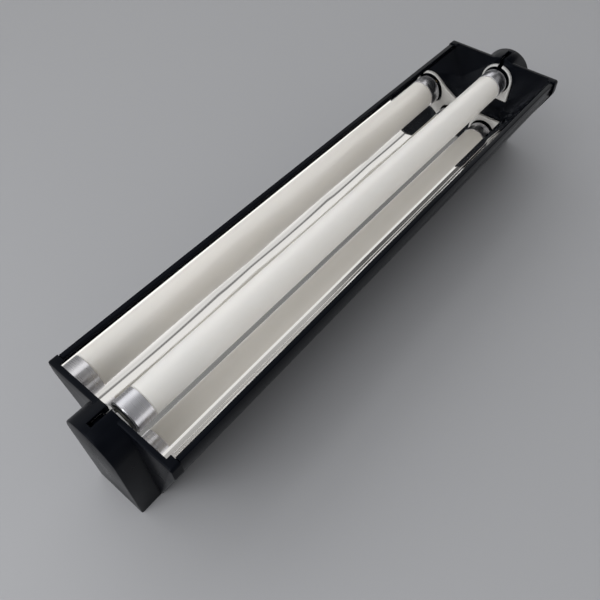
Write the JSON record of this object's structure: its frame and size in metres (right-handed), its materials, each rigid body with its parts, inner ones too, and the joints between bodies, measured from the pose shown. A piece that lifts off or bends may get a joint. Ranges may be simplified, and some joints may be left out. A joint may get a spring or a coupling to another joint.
{
  "type": "linear tube light",
  "caption": "Short linear light: black trough with a polished reflector, end caps with rotary lampholders, and a milky bi-pin light tube that twists a quarter turn to come out.",
  "frame": {"origin": "centre of the base, on the surface that the light lies on", "axes": "+X along the tube towards the end with the cable inlet, +Y to the side, +Z out of the trough's open face"},
  "size_m": [0.319, 0.0692, 0.0594],
  "materials": {
    "black_housing": "moulded, glossy",
    "black_cap": "moulded, satin gloss",
    "polished_reflector": "polished aluminium sheet",
    "milky_tube": "milky, smooth",
    "bright_ferrule": "bright drawn shell",
    "white_plastic": "moulded, satin",
    "tan_insulator": "moulded",
    "white_board": "coated board",
    "green_board": "coated board",
    "steel": "plated",
    "black_rubber": "moulded",
    "brass": "spring strip",
    "nickel": "nickel-plated brass",
    "lead_insulation": "extruded insulation"
  },
  "bodies": {
    "luminaire": {"housing_trough": "black_housing", "reflector": "polished_reflector", "end_cap_near": "black_cap", "end_cap_far": "black_cap", "lampholder_near": "white_plastic", "lampholder_far": "white_plastic", "contact_near_a": "brass", "contact_near_b": "brass", "contact_far_a": "brass", "contact_far_b": "brass", "driver_tray": "steel", "driver_lid": "steel", "driver_circuit": "green_board", "driver_screw_near": "steel", "driver_screw_far": "steel", "terminal_block": "white_plastic", "cable_grommet": "black_rubber", "lamp_lead_near_a": "lead_insulation", "lamp_lead_near_b": "lead_insulation", "lamp_lead_far_a": "lead_insulation", "lamp_lead_far_b": "lead_insulation", "supply_lead_a": "lead_insulation", "supply_lead_b": "lead_insulation"},
    "tube": {"tube_diffuser": "milky_tube", "led_strip": "white_board", "tube_driver": "green_board", "ferrule_near": "bright_ferrule", "ferrule_far": "bright_ferrule", "base_disc_near": "tan_insulator", "base_disc_far": "tan_insulator", "pin_near_a": "nickel", "pin_near_b": "nickel", "pin_far_a": "nickel", "pin_far_b": "nickel"},
    "rotor_near": {"rotor_near": "black_cap"},
    "rotor_far": {"rotor_far": "black_cap"}
  },
  "joints": [
    {"name": "tube_twist", "type": "hinge", "parent": "luminaire", "child": "tube", "pos_m": [0, 0, 0.0458], "axis": [1, 0, 0], "range_deg": [0, 90]},
    {"name": "rotor_near_turn", "type": "hinge", "parent": "luminaire", "child": "rotor_near", "pos_m": [-0.15, 0, 0.0458], "axis": [1, 0, 0], "range_deg": [0, 90]},
    {"name": "rotor_far_turn", "type": "hinge", "parent": "luminaire", "child": "rotor_far", "pos_m": [0.15, 0, 0.0458], "axis": [1, 0, 0], "range_deg": [0, 90]}
  ],
  "couplings": [
    {"joint": "rotor_near_turn", "follows": "tube_twist", "ratio": 1},
    {"joint": "rotor_far_turn", "follows": "tube_twist", "ratio": 1}
  ]
}
